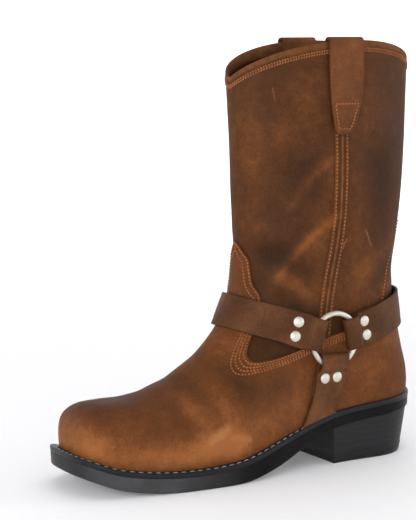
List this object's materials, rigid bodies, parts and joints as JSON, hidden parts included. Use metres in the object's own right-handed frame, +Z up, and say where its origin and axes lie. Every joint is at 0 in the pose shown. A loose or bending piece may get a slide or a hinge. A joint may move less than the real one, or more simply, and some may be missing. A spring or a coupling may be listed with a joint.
{
  "type": "harness boot",
  "caption": "Pull-on leather boot with a square toe, welted sole and stacked block heel, and riveted leather straps joined by a steel ring at each side.",
  "frame": {"origin": "centre of the heel's flat bottom, on the floor", "axes": "+Z up, -Y towards the toe, +X the outer (lateral) side of the left foot"},
  "size_m": [0.1059, 0.2933, 0.3198],
  "materials": {
    "vamp_leather": "oiled, matt-satin",
    "strap_leather": "oiled, satin",
    "insole_leather": "matt",
    "black_welt": "dyed edge, satin",
    "black_rubber": "satin",
    "black_stack": "dyed stack, satin",
    "nickel": "matt nickel plate"
  },
  "bodies": {
    "root": {"upper": "vamp_leather", "insole": "insole_leather", "welt": "black_welt", "outsole": "black_rubber", "heel_stack": "black_stack", "top_lift": "black_rubber", "strap_front": "strap_leather", "strap_back": "strap_leather", "strap_side_lateral": "strap_leather", "strap_side_medial": "strap_leather", "pull_strap_lateral": "strap_leather", "pull_strap_medial": "strap_leather", "ring_lateral": "nickel", "ring_medial": "nickel", "rivet_lateral_front_1": "nickel", "rivet_lateral_front_2": "nickel", "rivet_lateral_back_1": "nickel", "rivet_lateral_back_2": "nickel", "rivet_lateral_side_1": "nickel", "rivet_lateral_side_2": "nickel", "rivet_medial_front_1": "nickel", "rivet_medial_front_2": "nickel", "rivet_medial_back_1": "nickel", "rivet_medial_back_2": "nickel", "rivet_medial_side_1": "nickel", "rivet_medial_side_2": "nickel"}
  },
  "joints": []
}
